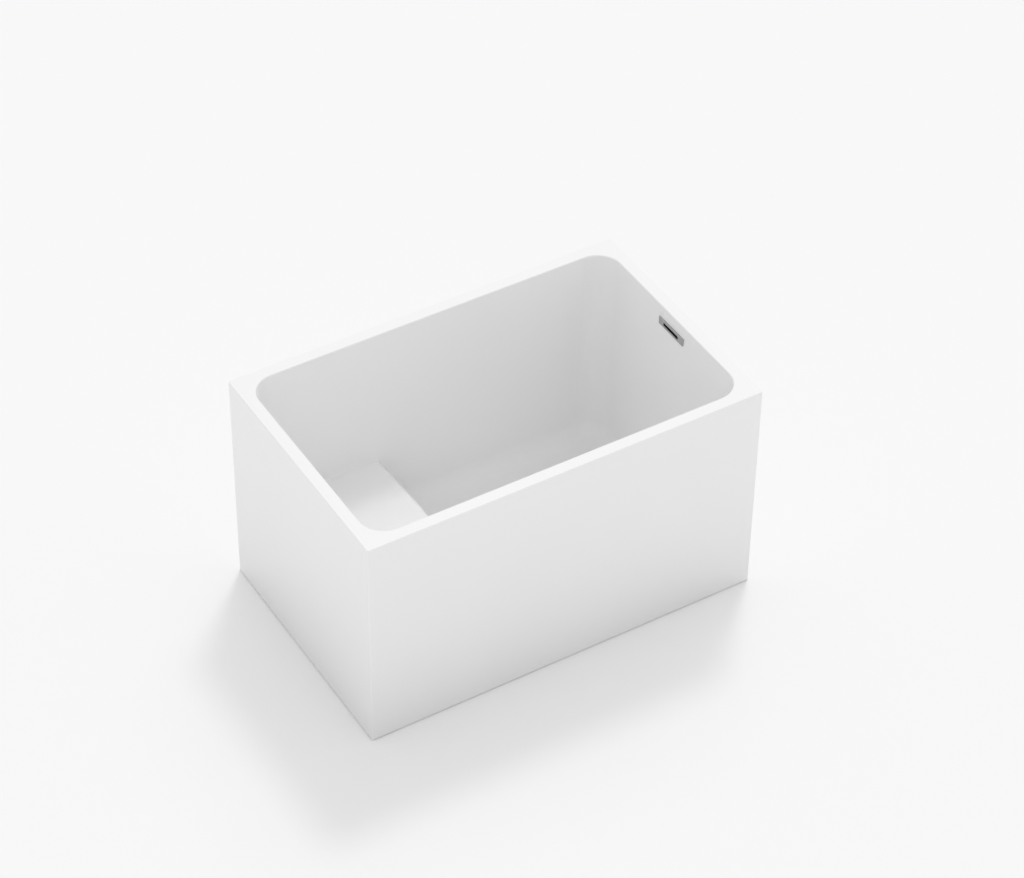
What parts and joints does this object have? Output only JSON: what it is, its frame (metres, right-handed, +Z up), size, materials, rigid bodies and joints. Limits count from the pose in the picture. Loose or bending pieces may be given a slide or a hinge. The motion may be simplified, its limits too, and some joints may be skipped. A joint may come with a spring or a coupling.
{
  "type": "freestanding bathtub",
  "caption": "Small rectangular freestanding soaking tub with square edges, a flat slim rim, a moulded seat, a slot overflow, a push-to-close drain plug and levelling feet.",
  "frame": {"origin": "on the floor, under the middle of the tub's bounding box", "axes": "+X along the tub towards its drain and overflow end, -X towards its seat, -Y towards its front long side, +Z up"},
  "size_m": [1, 0.63, 0.58],
  "materials": {
    "white_acrylic": "smooth white sanitary acrylic, soft satin gloss",
    "timber": "planed softwood, unfinished",
    "plywood": "birch plywood, raw",
    "galvanised_steel": "hot-dip galvanised, spangled",
    "zinc_plated_steel": "bright zinc plated",
    "black_plastic": "moulded, fine texture",
    "grey_plastic": "moulded polypropylene",
    "hose_plastic": "flexible ribbed hose",
    "rubber": "soft moulded rubber",
    "chrome": "polished chrome plate",
    "satin_steel": "satin brushed",
    "brass": "machined"
  },
  "bodies": {
    "tub": {"basin_shell": "white_acrylic", "outer_skirt": "white_acrylic", "rim_batten_front": "timber", "rim_batten_back": "timber", "rim_batten_seat_end": "timber", "rim_batten_drain_end": "timber", "skirt_batten_front": "timber", "skirt_batten_back": "timber", "skirt_batten_seat_end": "timber", "skirt_batten_drain_end": "timber", "floor_board": "plywood", "seat_board": "plywood", "frame_rail_front": "galvanised_steel", "frame_rail_back": "galvanised_steel", "frame_cross_seat": "galvanised_steel", "frame_cross_middle": "galvanised_steel", "frame_cross_drain": "galvanised_steel", "seat_post_wall_front": "galvanised_steel", "seat_post_wall_back": "galvanised_steel", "seat_post_nose_front": "galvanised_steel", "seat_post_nose_back": "galvanised_steel", "floor_board_screws": "zinc_plated_steel", "seat_board_screws": "zinc_plated_steel", "rail_end_brackets": "galvanised_steel", "skirt_straps": "galvanised_steel", "bracket_screws": "zinc_plated_steel", "foot_weld_nuts": "zinc_plated_steel", "foot_lock_nuts": "zinc_plated_steel", "waste_flange": "chrome", "waste_gasket_upper": "rubber", "waste_gasket_lower": "rubber", "waste_body": "grey_plastic", "plug_barrel": "brass", "plug_spring": "zinc_plated_steel", "barrel_end_cap": "brass", "overflow_cover": "satin_steel", "overflow_clamp_frame": "black_plastic", "overflow_screws": "zinc_plated_steel", "overflow_gasket": "rubber", "overflow_housing": "black_plastic", "overflow_hose": "hose_plastic", "hose_clip_upper": "zinc_plated_steel", "hose_clip_lower": "zinc_plated_steel"},
    "plug": {"plug_cap": "chrome", "plug_seal": "rubber", "plug_stem": "brass"},
    "foot_pad_seat_front": {"foot_pad_seat_front": "black_plastic"},
    "foot_stud_seat_front": {"foot_stud_seat_front": "zinc_plated_steel"},
    "foot_pad_seat_back": {"foot_pad_seat_back": "black_plastic"},
    "foot_stud_seat_back": {"foot_stud_seat_back": "zinc_plated_steel"},
    "foot_pad_drain_front": {"foot_pad_drain_front": "black_plastic"},
    "foot_stud_drain_front": {"foot_stud_drain_front": "zinc_plated_steel"},
    "foot_pad_drain_back": {"foot_pad_drain_back": "black_plastic"},
    "foot_stud_drain_back": {"foot_stud_drain_back": "zinc_plated_steel"}
  },
  "joints": [
    {"name": "plug_press", "type": "slide", "parent": "tub", "child": "plug", "axis": [0, 0, 1], "range_m": [-0.009, 0], "stiffness_N_per_m": 300, "springref_m": 0.015, "deforming": ["plug_spring"]},
    {"name": "foot_height_seat_front", "type": "slide", "parent": "tub", "child": "foot_pad_seat_front", "axis": [0, 0, -1], "range_m": [0, 0.015]},
    {"name": "foot_turn_seat_front", "type": "hinge", "parent": "foot_pad_seat_front", "child": "foot_stud_seat_front", "pos_m": [-0.4, -0.16234, 0.02], "axis": [0, 0, -1], "range_deg": [0, 3600]},
    {"name": "foot_height_seat_back", "type": "slide", "parent": "tub", "child": "foot_pad_seat_back", "axis": [0, 0, -1], "range_m": [0, 0.015]},
    {"name": "foot_turn_seat_back", "type": "hinge", "parent": "foot_pad_seat_back", "child": "foot_stud_seat_back", "pos_m": [-0.4, 0.16234, 0.02], "axis": [0, 0, -1], "range_deg": [0, 3600]},
    {"name": "foot_height_drain_front", "type": "slide", "parent": "tub", "child": "foot_pad_drain_front", "axis": [0, 0, -1], "range_m": [0, 0.015]},
    {"name": "foot_turn_drain_front", "type": "hinge", "parent": "foot_pad_drain_front", "child": "foot_stud_drain_front", "pos_m": [0.4, -0.16234, 0.02], "axis": [0, 0, -1], "range_deg": [0, 3600]},
    {"name": "foot_height_drain_back", "type": "slide", "parent": "tub", "child": "foot_pad_drain_back", "axis": [0, 0, -1], "range_m": [0, 0.015]},
    {"name": "foot_turn_drain_back", "type": "hinge", "parent": "foot_pad_drain_back", "child": "foot_stud_drain_back", "pos_m": [0.4, 0.16234, 0.02], "axis": [0, 0, -1], "range_deg": [0, 3600]}
  ],
  "couplings": [
    {"joint": "foot_turn_seat_front", "follows": "foot_height_seat_front", "rad_per_m": 4188.8},
    {"joint": "foot_turn_seat_back", "follows": "foot_height_seat_back", "rad_per_m": 4188.8},
    {"joint": "foot_turn_drain_front", "follows": "foot_height_drain_front", "rad_per_m": 4188.8},
    {"joint": "foot_turn_drain_back", "follows": "foot_height_drain_back", "rad_per_m": 4188.8}
  ]
}
